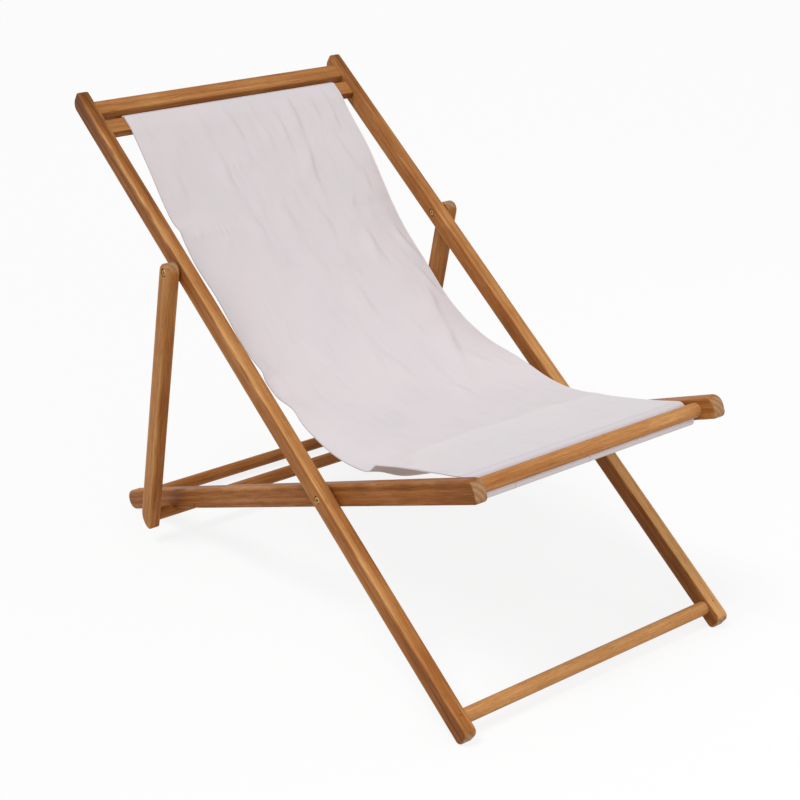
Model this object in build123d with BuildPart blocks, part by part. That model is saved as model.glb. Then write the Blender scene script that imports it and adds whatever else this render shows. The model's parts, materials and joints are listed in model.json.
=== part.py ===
from build123d import *
import math
import os

# Folding beach chair: three wooden frames that turn on bolts, and a canvas sling.
# X runs across the chair, -Y is the way the sitter faces, +Z is up and the floor is at Z = 0.
# Right means the sitter's right (-X).

# Frame lengths, measured along each rail from the bolt where back and seat frame cross
back_tilt = 36.0
back_above = 812.0
back_below = 408.5
seat_front = 342.0
seat_rear = 663.0
prop_pivot_up = 443.0
outer_width = 528.0

# Timber sections
rail_thickness = 22.0
back_depth = 30.0
seat_depth = 34.0
strut_depth = 28.0
edge_round = 4.0
dowel_radius = 11.0
board_width = 28.0
board_thickness = 22.0
board_round = 3.0
slat_width = 30.0
slat_thickness = 14.0
slat_round = 3.0
rod_radius = 6.0

# Shapes of the rail ends
foot_heel_round = 8.0
foot_toe_round = 10.0
head_back_round = 15.0
head_tip_round = 4.0
seat_nose_top_round = 17.0
seat_nose_low_round = 8.0
strut_heel_round = 25.0
strut_tip_round = 3.0
strut_below_dowel = 17.5

# Places of the cross pieces
board_from_head = 21.0
board_inset = 3.4
slat_gap = 13.0
slat_inset = 4.5
foot_dowel_up = 32.0
front_dowel_back = 37.5
front_dowel_drop = 1.0
sling_dowel_gap = 7.5
sling_dowel_top = 13.0

# Notches for the prop dowel
notch_back = 511.0
notch_pitch = 81.0
notch_count = 2
notch_drop = 1.0
notch_clearance = 0.4
notch_flare = 33.0
notch_lip = 14.0

# Joinery
tenon_radius = 7.0
tenon_length = 16.0
flat_tenon_width = 20.0
flat_tenon_thickness = 9.0
tenon_clearance = 0.08
tenon_end_gap = 0.4
brad_radius = 1.0
brad_clearance = 0.05
brad_length = 17.0

# Pivot hardware
washer_gap = 3.0
washer_radius = 8.0
washer_play = 0.2
bolt_radius = 3.0
bolt_head_radius = 5.0
bolt_head_height = 5.0
bolt_head_chamfer = 0.6
bolt_tip = 2.0
bolt_socket = 2.6
bolt_socket_depth = 3.0
recess_radius = 7.0
bolt_recess_depth = 6.0
sleeve_radius = 4.0
sleeve_length = 14.0
nut_head_height = 2.5
nut_recess_depth = 3.2
nut_bore_depth = 13.0
pivot_clearance = 0.05
thread_clearance = 0.03
head_play = 0.15

# Sling
sling_side_gap = 6.0
cloth = 1.6
cloth_gap = 0.3
rod_gap = 0.25
rod_short = 2.0
sling_head_turn = 13.3
sling_front_turn = 4.4
sling_head_pull = 483.0
sling_front_pull = 404.5
front_hem_swing = 43.0

# Levels across the chair
back_outer = outer_width / 2
back_inner = back_outer - rail_thickness
seat_outer = back_inner - washer_gap
seat_inner = seat_outer - rail_thickness
sling_width = 2 * (seat_inner - sling_side_gap)
strut_inner = back_outer + washer_gap
strut_outer = strut_inner + rail_thickness

# Heights above the floor and reach to front and rear
back_half = back_depth / 2
seat_half = seat_depth / 2
strut_half = strut_depth / 2
cos_back = math.cos(math.radians(back_tilt))
sin_back = math.sin(math.radians(back_tilt))
heel_drop = (back_half - foot_heel_round) * cos_back + foot_heel_round
pivot_height = (back_below - foot_heel_round) * sin_back + heel_drop
seat_tilt = math.degrees(math.asin((pivot_height - seat_half) / (seat_rear - seat_half)))
cos_seat = math.cos(math.radians(seat_tilt))
sin_seat = math.sin(math.radians(seat_tilt))
toe_reach = (back_half - foot_toe_round) * sin_back + foot_toe_round
front_reach = (back_below - foot_toe_round) * cos_back + toe_reach
head_bulge = head_back_round - (head_back_round - back_half) * sin_back
rear_reach = (back_above - head_back_round) * cos_back + head_bulge
pivot_y = (front_reach - rear_reach) / 2

# Prop frame: its dowel lies in the rear notch
notch_level = -(seat_half + notch_drop)
notch_y = pivot_y + notch_back * cos_seat + notch_level * sin_seat
notch_z = pivot_height - notch_back * sin_seat + notch_level * cos_seat
prop_y = pivot_y + prop_pivot_up * cos_back
prop_z = pivot_height + prop_pivot_up * sin_back
strut_run = notch_y - prop_y
strut_drop = prop_z - notch_z
strut_reach = math.hypot(strut_run, strut_drop)
strut_end = strut_reach + strut_below_dowel
cos_strut = strut_drop / strut_reach
sin_strut = strut_run / strut_reach

# Holes for tenons, brads and bolts
tenon_hole = tenon_radius + tenon_clearance
brad_hole = brad_radius + brad_clearance
shank_hole = bolt_radius + pivot_clearance
sleeve_hole = sleeve_radius + pivot_clearance

# Places along the rails
foot_dowel_at = -(back_below - foot_dowel_up)
board_top = back_above - board_from_head
board_at = board_top - board_width / 2
board_level = back_half - board_inset - board_thickness / 2
slat_top = board_top - board_width - slat_gap
slat_at = slat_top - slat_width / 2
slat_level = back_half - slat_inset - slat_thickness / 2
front_dowel_at = -(seat_front - front_dowel_back)
rear_dowel_at = seat_rear - seat_half
sling_dowel_at = front_dowel_at + 2 * dowel_radius + sling_dowel_gap
sling_dowel_level = sling_dowel_top - dowel_radius

# Hems: each lies against the two cross pieces that hold it
hem_inner = rod_radius + rod_gap
hem_outer = hem_inner + cloth
hem_clear = hem_outer + cloth_gap
head_hem_at = board_top - board_width - hem_clear
slat_corner_reach = slat_round + hem_clear
slat_back_corner = slat_level - slat_thickness / 2 + slat_round
head_hem_rise = head_hem_at - (slat_top - slat_round)
head_hem_level = slat_back_corner - math.sqrt(slat_corner_reach**2 - head_hem_rise**2)
front_hem_reach = dowel_radius + hem_clear
front_hem_at = front_dowel_at + front_hem_reach * math.sin(math.radians(front_hem_swing))
front_hem_level = -front_dowel_drop - front_hem_reach * math.cos(math.radians(front_hem_swing))


def back_plane(x):
    """Plane across the back rails: local x runs to the head, local y to the front of the rail."""
    return Plane(origin=(x, pivot_y, pivot_height), x_dir=(0, cos_back, sin_back), z_dir=(1, 0, 0))


def seat_plane(x):
    """Plane across the seat rails: local x runs to the rear, local y to the top of the rail."""
    return Plane(origin=(x, pivot_y, pivot_height), x_dir=(0, cos_seat, -sin_seat), z_dir=(1, 0, 0))


def prop_plane(x):
    """Plane across the struts: local x runs down the strut, local y to its rear."""
    return Plane(origin=(x, prop_y, prop_z), x_dir=(0, sin_strut, -cos_strut), z_dir=(1, 0, 0))


def round_bar(plane_at, centre, radius, x_from, x_to):
    """Round bar across the chair between two levels of X."""
    with BuildPart() as bar:
        with BuildSketch(plane_at(min(x_from, x_to))):
            with Locations(centre):
                Circle(radius)
        extrude(amount=abs(x_to - x_from))
    return bar.part


def flat_bar(plane_at, centre, width, thickness, corner, x_from, x_to):
    """Flat bar with rounded corners across the chair between two levels of X."""
    with BuildPart() as bar:
        with BuildSketch(plane_at(min(x_from, x_to))):
            with Locations(centre):
                RectangleRounded(width, thickness, corner)
        extrude(amount=abs(x_to - x_from))
    return bar.part


def flat_tenon(plane_at, centre, play, x_from, x_to):
    """Round-ended tenon of a board or slat, or its mortise when play is added."""
    width = flat_tenon_width + 2 * play
    thickness = flat_tenon_thickness + 2 * play
    with BuildPart() as tenon:
        with BuildSketch(plane_at(min(x_from, x_to))):
            with Locations(centre):
                SlotOverall(width, thickness)
        extrude(amount=abs(x_to - x_from))
    return tenon.part


def brad(plane_at, x, along, level, inward, radius, length):
    """Headless brad, driven into a rail edge at the given level and lying along its depth."""
    rail = plane_at(x)
    start = rail.from_local_coords(Vector(along, level, 0))
    with BuildPart() as pin:
        with BuildSketch(Plane(origin=start, z_dir=rail.y_dir * inward)):
            Circle(radius)
        extrude(amount=length)
    return pin.part


def hex_socket(plane_at, centre, x_from, x_to):
    """Hexagonal socket for the key in a bolt or nut head."""
    with BuildPart() as socket:
        with BuildSketch(plane_at(min(x_from, x_to))):
            with Locations(centre):
                RegularPolygon(bolt_socket, 6, major_radius=False)
        extrude(amount=abs(x_to - x_from))
    return socket.part


def notch_cutter(along):
    """Half-round notch under a seat rail, flared so that the dowel can swing out of it."""
    radius = dowel_radius + notch_clearance
    turn = math.radians(notch_flare)
    touch_x = radius * math.cos(turn)
    touch_y = radius * math.sin(turn)
    lip_x = touch_x + (notch_lip + touch_y) * math.tan(turn)
    with BuildPart() as cutter:
        with BuildSketch(seat_plane(-seat_outer - washer_gap)):
            with Locations((along, notch_level)):
                Circle(radius)
                Polygon(
                    (-touch_x, touch_y),
                    (touch_x, touch_y),
                    (lip_x, -notch_lip),
                    (-lip_x, -notch_lip),
                    align=None,
                )
        extrude(amount=2 * (seat_outer + washer_gap))
    return cutter.part


def round_corner(outline, corner, radius):
    """Round off the corner of a rail's outline that lies nearest to the given point."""
    fillet(outline.vertices().sort_by_distance((*corner, 0))[0], radius)


def back_rail(side):
    """Back rail: square foot with rounded corners, head with a round back corner."""
    outer = side * back_outer
    inner = side * back_inner
    mortise = inner + side * (tenon_length + tenon_end_gap)
    with BuildPart() as rail:
        with BuildSketch(back_plane(min(outer, inner))) as outline:
            with BuildLine():
                Polyline(
                    (-back_below, -back_half),
                    (back_above, -back_half),
                    (back_above, back_half),
                    (-back_below, back_half),
                    close=True,
                )
            make_face()
            round_corner(outline, (-back_below, -back_half), foot_heel_round)
            round_corner(outline, (-back_below, back_half), foot_toe_round)
            round_corner(outline, (back_above, -back_half), head_back_round)
            round_corner(outline, (back_above, back_half), head_tip_round)
        extrude(amount=rail_thickness)
        fillet(rail.faces().sort_by(Axis.X)[0].edges(), edge_round)
        fillet(rail.faces().sort_by(Axis.X)[-1].edges(), edge_round)
        add(round_bar(back_plane, (foot_dowel_at, 0), tenon_hole, inner, mortise), mode=Mode.SUBTRACT)
        for along, level in ((board_at, board_level), (slat_at, slat_level)):
            add(flat_tenon(back_plane, (along, level), tenon_clearance, inner, mortise), mode=Mode.SUBTRACT)
        middle = (outer + inner) / 2
        for along in (foot_dowel_at, board_at, slat_at):
            add(brad(back_plane, middle, along, back_half, -1, brad_hole, brad_length), mode=Mode.SUBTRACT)
        add(round_bar(back_plane, (0, 0), shank_hole, outer, inner), mode=Mode.SUBTRACT)
        seat_recess = outer - side * bolt_recess_depth
        add(round_bar(back_plane, (0, 0), recess_radius, outer, seat_recess), mode=Mode.SUBTRACT)
        prop_at = (prop_pivot_up, 0)
        add(round_bar(back_plane, prop_at, shank_hole, outer, inner), mode=Mode.SUBTRACT)
        sleeve_floor = inner + side * (nut_recess_depth + sleeve_length)
        add(round_bar(back_plane, prop_at, sleeve_hole, inner, sleeve_floor), mode=Mode.SUBTRACT)
        nut_floor = inner + side * nut_recess_depth
        add(round_bar(back_plane, prop_at, recess_radius, inner, nut_floor), mode=Mode.SUBTRACT)
    return rail


def seat_rail(side):
    """Seat rail: rounded nose, half-round rear end that stands on the floor, notches below."""
    outer = side * seat_outer
    inner = side * seat_inner
    mortise = inner + side * (tenon_length + tenon_end_gap)
    with BuildPart() as rail:
        with BuildSketch(seat_plane(min(outer, inner))) as outline:
            with BuildLine():
                rear_low = (rear_dowel_at, -seat_half)
                rear_top = (rear_dowel_at, seat_half)
                nose_top = (-seat_front, seat_half)
                nose_low = (-seat_front, -seat_half)
                Polyline(rear_top, nose_top, nose_low, rear_low)
                ThreePointArc(rear_low, (seat_rear, 0), rear_top)
            make_face()
            round_corner(outline, nose_top, seat_nose_top_round)
            round_corner(outline, nose_low, seat_nose_low_round)
        extrude(amount=rail_thickness)
        fillet(rail.faces().sort_by(Axis.X)[0].edges(), edge_round)
        fillet(rail.faces().sort_by(Axis.X)[-1].edges(), edge_round)
        for number in range(notch_count):
            add(notch_cutter(notch_back - number * notch_pitch), mode=Mode.SUBTRACT)
        middle = (outer + inner) / 2
        for along, level in ((front_dowel_at, -front_dowel_drop), (rear_dowel_at, 0)):
            add(round_bar(seat_plane, (along, level), tenon_hole, inner, mortise), mode=Mode.SUBTRACT)
            add(brad(seat_plane, middle, along, -seat_half, 1, brad_hole, brad_length), mode=Mode.SUBTRACT)
        sling_centre = (sling_dowel_at, sling_dowel_level)
        add(round_bar(seat_plane, sling_centre, tenon_hole, inner, mortise), mode=Mode.SUBTRACT)
        add(round_bar(seat_plane, (0, 0), sleeve_hole, outer, inner), mode=Mode.SUBTRACT)
        nut_floor = inner + side * nut_recess_depth
        add(round_bar(seat_plane, (0, 0), recess_radius, inner, nut_floor), mode=Mode.SUBTRACT)
    return rail


def prop_strut(side):
    """Strut: half-round top about the bolt, round heel below the dowel."""
    outer = side * strut_outer
    inner = side * strut_inner
    mortise = inner + side * (tenon_length + tenon_end_gap)
    with BuildPart() as strut:
        with BuildSketch(prop_plane(min(outer, inner))) as outline:
            with BuildLine():
                top_front = (0, -strut_half)
                top_rear = (0, strut_half)
                Polyline(top_front, (strut_end, -strut_half), (strut_end, strut_half), top_rear)
                ThreePointArc(top_rear, (-strut_half, 0), top_front)
            make_face()
            round_corner(outline, (strut_end, -strut_half), strut_tip_round)
            round_corner(outline, (strut_end, strut_half), strut_heel_round)
        extrude(amount=rail_thickness)
        fillet(strut.faces().sort_by(Axis.X)[0].edges(), edge_round)
        fillet(strut.faces().sort_by(Axis.X)[-1].edges(), edge_round)
        add(round_bar(prop_plane, (strut_reach, 0), tenon_hole, inner, mortise), mode=Mode.SUBTRACT)
        middle = (outer + inner) / 2
        add(brad(prop_plane, middle, strut_reach, strut_half, -1, brad_hole, brad_length), mode=Mode.SUBTRACT)
        add(round_bar(prop_plane, (0, 0), shank_hole, outer, inner), mode=Mode.SUBTRACT)
        recess_floor = outer - side * bolt_recess_depth
        add(round_bar(prop_plane, (0, 0), recess_radius, outer, recess_floor), mode=Mode.SUBTRACT)
    return strut


def dowel(plane_at, centre, half_span):
    """Round cross piece with a shouldered tenon at each end, pinned by a brad on each side."""
    reach = half_span + tenon_length
    with BuildPart() as piece:
        add(round_bar(plane_at, centre, dowel_radius, -half_span, half_span))
        add(round_bar(plane_at, centre, tenon_radius, -reach, reach))
    return piece


def brad_pair(plane_at, along, level, inward, x_level, radius):
    """The two brads of one cross piece, or their holes when the radius is larger."""
    with BuildPart() as pins:
        for x in (-x_level, x_level):
            add(brad(plane_at, x, along, level, inward, radius, brad_length))
    return pins.part


def cross_flat(plane_at, centre, width, thickness, corner, half_span):
    """Board or slat with a round-ended tenon at each end."""
    reach = half_span + tenon_length
    with BuildPart() as piece:
        add(flat_bar(plane_at, centre, width, thickness, corner, -half_span, half_span))
        add(flat_tenon(plane_at, centre, 0, -reach, reach))
    return piece


def pivot_bolt(plane_at, centre, side, seat_level, end_level):
    """Bolt with a round socket head; its shank runs inward from seat_level to end_level."""
    head_top = seat_level + side * bolt_head_height
    socket_floor = head_top - side * bolt_socket_depth
    with BuildPart() as bolt:
        add(round_bar(plane_at, centre, bolt_head_radius, seat_level, head_top))
        add(round_bar(plane_at, centre, bolt_radius, seat_level, end_level))
        chamfer(bolt.faces().sort_by(Axis.X)[-1 if side > 0 else 0].edges(), bolt_head_chamfer)
        add(hex_socket(plane_at, centre, socket_floor, head_top), mode=Mode.SUBTRACT)
    return bolt.part


def sleeve_nut(plane_at, centre, side, seat_level):
    """Sleeve nut: flat round head facing inward, sleeve running outward from seat_level."""
    head_top = seat_level - side * nut_head_height
    sleeve_end = seat_level + side * sleeve_length
    bore_floor = sleeve_end - side * nut_bore_depth
    with BuildPart() as nut:
        add(round_bar(plane_at, centre, bolt_head_radius, seat_level, head_top))
        add(round_bar(plane_at, centre, sleeve_radius, seat_level, sleeve_end))
        thread = bolt_radius + thread_clearance
        add(round_bar(plane_at, centre, thread, bore_floor, sleeve_end), mode=Mode.SUBTRACT)
        socket_floor = head_top + side * (nut_head_height - head_play)
        add(hex_socket(plane_at, centre, head_top, socket_floor), mode=Mode.SUBTRACT)
    return nut.part


def washer(plane_at, centre, hole, x_from, x_to):
    """Plain washer that keeps two rails apart."""
    with BuildPart() as ring:
        add(round_bar(plane_at, centre, washer_radius, x_from, x_to))
        add(round_bar(plane_at, centre, hole, x_from, x_to), mode=Mode.SUBTRACT)
    return ring.part


os.makedirs("parts", exist_ok=True)

# Back frame
back_rail_right = back_rail(-1)
back_rail_right.part.label = "back_rail_right"
export_step(back_rail_right.part, "parts/back_rail_right.step")

back_rail_left = back_rail(1)
back_rail_left.part.label = "back_rail_left"
export_step(back_rail_left.part, "parts/back_rail_left.step")

back_middle = (back_outer + back_inner) / 2
with BuildPart() as top_board:
    board_centre = (board_at, board_level)
    add(cross_flat(back_plane, board_centre, board_width, board_thickness, board_round, back_inner).part)
    holes = brad_pair(back_plane, board_at, back_half, -1, back_middle, brad_hole)
    add(holes, mode=Mode.SUBTRACT)
top_board.part.label = "top_board"
export_step(top_board.part, "parts/top_board.step")

with BuildPart() as head_slat:
    slat_centre = (slat_at, slat_level)
    add(cross_flat(back_plane, slat_centre, slat_width, slat_thickness, slat_round, back_inner).part)
    holes = brad_pair(back_plane, slat_at, back_half, -1, back_middle, brad_hole)
    add(holes, mode=Mode.SUBTRACT)
head_slat.part.label = "head_slat"
export_step(head_slat.part, "parts/head_slat.step")

with BuildPart() as foot_dowel:
    add(dowel(back_plane, (foot_dowel_at, 0), back_inner).part)
    holes = brad_pair(back_plane, foot_dowel_at, back_half, -1, back_middle, brad_hole)
    add(holes, mode=Mode.SUBTRACT)
foot_dowel.part.label = "foot_dowel"
export_step(foot_dowel.part, "parts/foot_dowel.step")

with BuildPart() as back_brads:
    for place in (foot_dowel_at, board_at, slat_at):
        add(brad_pair(back_plane, place, back_half, -1, back_middle, brad_radius))
back_brads.part.label = "back_brads"
export_step(back_brads.part, "parts/back_brads.step")

rod_half = sling_width / 2 - rod_short
with BuildPart() as head_rod:
    add(round_bar(back_plane, (head_hem_at, head_hem_level), rod_radius, -rod_half, rod_half))
head_rod.part.label = "head_rod"
export_step(head_rod.part, "parts/head_rod.step")

# Seat frame
seat_rail_right = seat_rail(-1)
seat_rail_right.part.label = "seat_rail_right"
export_step(seat_rail_right.part, "parts/seat_rail_right.step")

seat_rail_left = seat_rail(1)
seat_rail_left.part.label = "seat_rail_left"
export_step(seat_rail_left.part, "parts/seat_rail_left.step")

seat_middle = (seat_outer + seat_inner) / 2
with BuildPart() as front_dowel:
    add(dowel(seat_plane, (front_dowel_at, -front_dowel_drop), seat_inner).part)
    holes = brad_pair(seat_plane, front_dowel_at, -seat_half, 1, seat_middle, brad_hole)
    add(holes, mode=Mode.SUBTRACT)
front_dowel.part.label = "front_dowel"
export_step(front_dowel.part, "parts/front_dowel.step")

with BuildPart() as sling_dowel:
    add(dowel(seat_plane, (sling_dowel_at, sling_dowel_level), seat_inner).part)
sling_dowel.part.label = "sling_dowel"
export_step(sling_dowel.part, "parts/sling_dowel.step")

with BuildPart() as rear_dowel:
    add(dowel(seat_plane, (rear_dowel_at, 0), seat_inner).part)
    holes = brad_pair(seat_plane, rear_dowel_at, -seat_half, 1, seat_middle, brad_hole)
    add(holes, mode=Mode.SUBTRACT)
rear_dowel.part.label = "rear_dowel"
export_step(rear_dowel.part, "parts/rear_dowel.step")

with BuildPart() as seat_brads:
    for place in (front_dowel_at, rear_dowel_at):
        add(brad_pair(seat_plane, place, -seat_half, 1, seat_middle, brad_radius))
seat_brads.part.label = "seat_brads"
export_step(seat_brads.part, "parts/seat_brads.step")

with BuildPart() as front_rod:
    add(round_bar(seat_plane, (front_hem_at, front_hem_level), rod_radius, -rod_half, rod_half))
front_rod.part.label = "front_rod"
export_step(front_rod.part, "parts/front_rod.step")

# Prop frame
prop_strut_right = prop_strut(-1)
prop_strut_right.part.label = "prop_strut_right"
export_step(prop_strut_right.part, "parts/prop_strut_right.step")

prop_strut_left = prop_strut(1)
prop_strut_left.part.label = "prop_strut_left"
export_step(prop_strut_left.part, "parts/prop_strut_left.step")

strut_middle = (strut_outer + strut_inner) / 2
with BuildPart() as prop_dowel:
    add(dowel(prop_plane, (strut_reach, 0), strut_inner).part)
    holes = brad_pair(prop_plane, strut_reach, strut_half, -1, strut_middle, brad_hole)
    add(holes, mode=Mode.SUBTRACT)
prop_dowel.part.label = "prop_dowel"
export_step(prop_dowel.part, "parts/prop_dowel.step")

with BuildPart() as prop_brads:
    add(brad_pair(prop_plane, strut_reach, strut_half, -1, strut_middle, brad_radius))
prop_brads.part.label = "prop_brads"
export_step(prop_brads.part, "parts/prop_brads.step")

# Pivot hardware
with BuildPart() as seat_bolts:
    for side in (-1, 1):
        bolt_seat = side * (back_outer - bolt_recess_depth)
        bolt_end = side * (seat_inner + nut_recess_depth + bolt_tip)
        add(pivot_bolt(back_plane, (0, 0), side, bolt_seat, bolt_end))
seat_bolts.part.label = "seat_bolts"
export_step(seat_bolts.part, "parts/seat_bolts.step")

with BuildPart() as seat_washers:
    for side in (-1, 1):
        inner_face = side * (seat_outer + washer_play)
        add(washer(back_plane, (0, 0), shank_hole, side * back_inner, inner_face))
seat_washers.part.label = "seat_washers"
export_step(seat_washers.part, "parts/seat_washers.step")

with BuildPart() as seat_nuts:
    for side in (-1, 1):
        nut_seat = side * (seat_inner + nut_recess_depth - head_play)
        add(sleeve_nut(seat_plane, (0, 0), side, nut_seat))
seat_nuts.part.label = "seat_nuts"
export_step(seat_nuts.part, "parts/seat_nuts.step")

prop_centre = (prop_pivot_up, 0)
with BuildPart() as prop_bolts:
    for side in (-1, 1):
        bolt_seat = side * (strut_outer - bolt_recess_depth + head_play)
        bolt_end = side * (back_inner + nut_recess_depth + bolt_tip)
        add(pivot_bolt(back_plane, prop_centre, side, bolt_seat, bolt_end))
prop_bolts.part.label = "prop_bolts"
export_step(prop_bolts.part, "parts/prop_bolts.step")

with BuildPart() as prop_washers:
    for side in (-1, 1):
        outer_face = side * (strut_inner - washer_play)
        add(washer(back_plane, prop_centre, shank_hole, side * back_outer, outer_face))
prop_washers.part.label = "prop_washers"
export_step(prop_washers.part, "parts/prop_washers.step")

with BuildPart() as prop_nuts:
    for side in (-1, 1):
        nut_seat = side * (back_inner + nut_recess_depth)
        add(sleeve_nut(back_plane, prop_centre, side, nut_seat))
prop_nuts.part.label = "prop_nuts"
export_step(prop_nuts.part, "parts/prop_nuts.step")

# Sling: one strip of canvas, hemmed round a rod at both ends
slat_wrap = slat_round + cloth_gap + cloth / 2
dowel_wrap = dowel_radius + cloth_gap + cloth / 2
back_side = back_plane(0)
seat_side = seat_plane(0)


def on_back(along, level):
    """Point of the sling's middle line, given along and across the back rail."""
    point = back_side.from_local_coords(Vector(along, level, 0))
    return (point.Y, point.Z)


def on_seat(along, level):
    """Point of the sling's middle line, given along and across the seat rail."""
    point = seat_side.from_local_coords(Vector(along, level, 0))
    return (point.Y, point.Z)


def on_slat(along, level, turn):
    """Point of the sling on a head slat corner of centre (along, level), turned from the rail normal."""
    angle = math.radians(turn)
    return on_back(along + slat_wrap * math.sin(angle), level + slat_wrap * math.cos(angle))


def on_dowel(turn):
    """Point of the sling on the sling dowel, turned towards the rear from the rail normal."""
    angle = math.radians(turn)
    level = sling_dowel_level + dowel_wrap * math.cos(angle)
    return on_seat(sling_dowel_at + dowel_wrap * math.sin(angle), level)


slat_face = slat_level + slat_thickness / 2 - slat_round
slat_upper = slat_top - slat_round
slat_lower = slat_top - slat_width + slat_round
head_leave = on_slat(slat_lower, slat_face, -sling_head_turn)
front_meet = on_dowel(-sling_front_turn)
square_turn = 90.0
slat_behind = on_slat(slat_upper, slat_face, square_turn)
slat_over = on_slat(slat_upper, slat_face, 0)
slat_under = on_slat(slat_lower, slat_face, 0)
nose_front = on_dowel(-square_turn)
leave_angle = math.radians(back_tilt + sling_head_turn)
meet_angle = math.radians(seat_tilt - sling_front_turn)
head_handle = (
    head_leave[0] - sling_head_pull * math.cos(leave_angle),
    head_leave[1] - sling_head_pull * math.sin(leave_angle),
)
front_handle = (
    front_meet[0] + sling_front_pull * math.cos(meet_angle),
    front_meet[1] - sling_front_pull * math.sin(meet_angle),
)
with BuildPart() as sling:
    with BuildSketch(Plane(origin=(-sling_width / 2, 0, 0), x_dir=(0, 1, 0), z_dir=(1, 0, 0))):
        with BuildLine():
            Line(on_back(slat_upper + slat_wrap, head_hem_level + hem_inner), slat_behind)
            ThreePointArc(
                slat_behind,
                on_slat(slat_upper, slat_face, square_turn / 2),
                slat_over,
            )
            Line(slat_over, slat_under)
            ThreePointArc(
                slat_under,
                on_slat(slat_lower, slat_face, -sling_head_turn / 2),
                head_leave,
            )
            Bezier(head_leave, head_handle, front_handle, front_meet)
            ThreePointArc(
                front_meet,
                on_dowel(-square_turn / 2),
                nose_front,
            )
            Line(nose_front, on_seat(sling_dowel_at - dowel_wrap, front_hem_level + hem_inner))
        trace(line_width=cloth)
        with Locations(on_back(head_hem_at, head_hem_level), on_seat(front_hem_at, front_hem_level)):
            Circle(hem_outer)
            Circle(hem_inner, mode=Mode.SUBTRACT)
    extrude(amount=sling_width)
sling.part.label = "sling"
export_step(sling.part, "parts/sling.step")
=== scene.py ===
"""Looks of the folding beach chair: oiled wood frames, brass pivots and a canvas sling."""

import json
import logging
import math
from dataclasses import dataclass, field
from enum import Enum
from typing import Any, Optional, Sequence, Union

import bpy
import numpy as np
from mathutils import Euler, Matrix, Vector


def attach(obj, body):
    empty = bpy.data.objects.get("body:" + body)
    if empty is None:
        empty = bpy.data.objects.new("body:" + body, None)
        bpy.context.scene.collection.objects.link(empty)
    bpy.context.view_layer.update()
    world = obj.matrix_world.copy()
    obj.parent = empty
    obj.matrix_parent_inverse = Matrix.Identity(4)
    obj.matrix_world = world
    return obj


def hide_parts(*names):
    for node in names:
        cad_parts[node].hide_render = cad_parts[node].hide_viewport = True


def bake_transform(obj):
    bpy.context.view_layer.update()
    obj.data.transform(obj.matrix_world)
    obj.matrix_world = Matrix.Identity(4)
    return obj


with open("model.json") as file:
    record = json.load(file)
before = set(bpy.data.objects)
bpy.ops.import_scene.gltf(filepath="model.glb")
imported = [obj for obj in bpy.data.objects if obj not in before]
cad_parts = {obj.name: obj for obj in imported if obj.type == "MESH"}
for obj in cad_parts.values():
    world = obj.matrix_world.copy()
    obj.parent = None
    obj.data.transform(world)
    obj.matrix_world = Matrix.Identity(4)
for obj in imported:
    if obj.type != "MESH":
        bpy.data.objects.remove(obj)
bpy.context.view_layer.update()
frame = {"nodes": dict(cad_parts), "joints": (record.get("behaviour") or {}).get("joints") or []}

LOG = logging.getLogger("beach_chair")
Number = Union[int, float]
Term = Union["Value", Number]
Pair = tuple[float, float]
Triple = tuple[float, float, float]
Colour = Triple
Array = np.ndarray
WHITE: Colour = (1.0, 1.0, 1.0)
MM = 1000.0


class Value:
    """A node's output socket that takes part in shader sums."""

    def __init__(self, shader: "Shader", socket: bpy.types.NodeSocket) -> None:
        """Keep the socket and the shader that owns it."""
        self.shader = shader
        self.socket = socket

    def output(self, name: str) -> "Value":
        """Another output of the same node, by identifier or name."""
        return Value(self.shader, self.shader.find(self.socket.node.outputs, name))

    def sum(self, operation: str, *others: Term) -> "Value":
        """Add one Math node of this operation, with further operands in order."""
        return self.shader.math(operation, self, *others)

    def __add__(self, other: Term) -> "Value":
        """Sum."""
        return self.sum("ADD", other)

    __radd__ = __add__

    def __sub__(self, other: Term) -> "Value":
        """Difference."""
        return self.sum("SUBTRACT", other)

    def __rsub__(self, other: Number) -> "Value":
        """Difference from a number."""
        return self.shader.math("SUBTRACT", other, self)

    def __mul__(self, other: Term) -> "Value":
        """Product."""
        return self.sum("MULTIPLY", other)

    __rmul__ = __mul__

    def __truediv__(self, other: Number) -> "Value":
        """Quotient."""
        return self.sum("DIVIDE", other)

    def __pow__(self, other: Number) -> "Value":
        """Power."""
        return self.sum("POWER", other)

    def __abs__(self) -> "Value":
        """Size without sign."""
        return self.sum("ABSOLUTE")

    def sine(self) -> "Value":
        """Sine of an angle in radians."""
        return self.sum("SINE")

    def share(self) -> "Value":
        """A wave from -1 to 1, brought to 0 to 1."""
        return self * 0.5 + 0.5

    def largest(self, other: "Value") -> "Value":
        """The larger of two values."""
        return self.sum("MAXIMUM", other)

    def step(self, low: float, high: float) -> "Value":
        """Smooth step.

        Args:
            low: Where the step is 0.
            high: Where it reaches 1.

        Returns:
            The step.
        """
        settings = {"interpolation_type": "SMOOTHSTEP"}
        inputs = {"Value": self, "From Min": low, "From Max": high}
        return self.shader.node("ShaderNodeMapRange", settings, inputs)


Link = Union[Value, Number, Sequence[float]]
Settings = Optional[dict[str, Any]]
Inputs = Optional[dict[str, Link]]


@dataclass(frozen=True)
class Speckle:
    """Noise of a finish: grains per metre along X, Y and Z, octaves, and where it steps to 1."""

    scale: Triple
    detail: float = 2.0
    cut: Optional[Pair] = None


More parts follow.
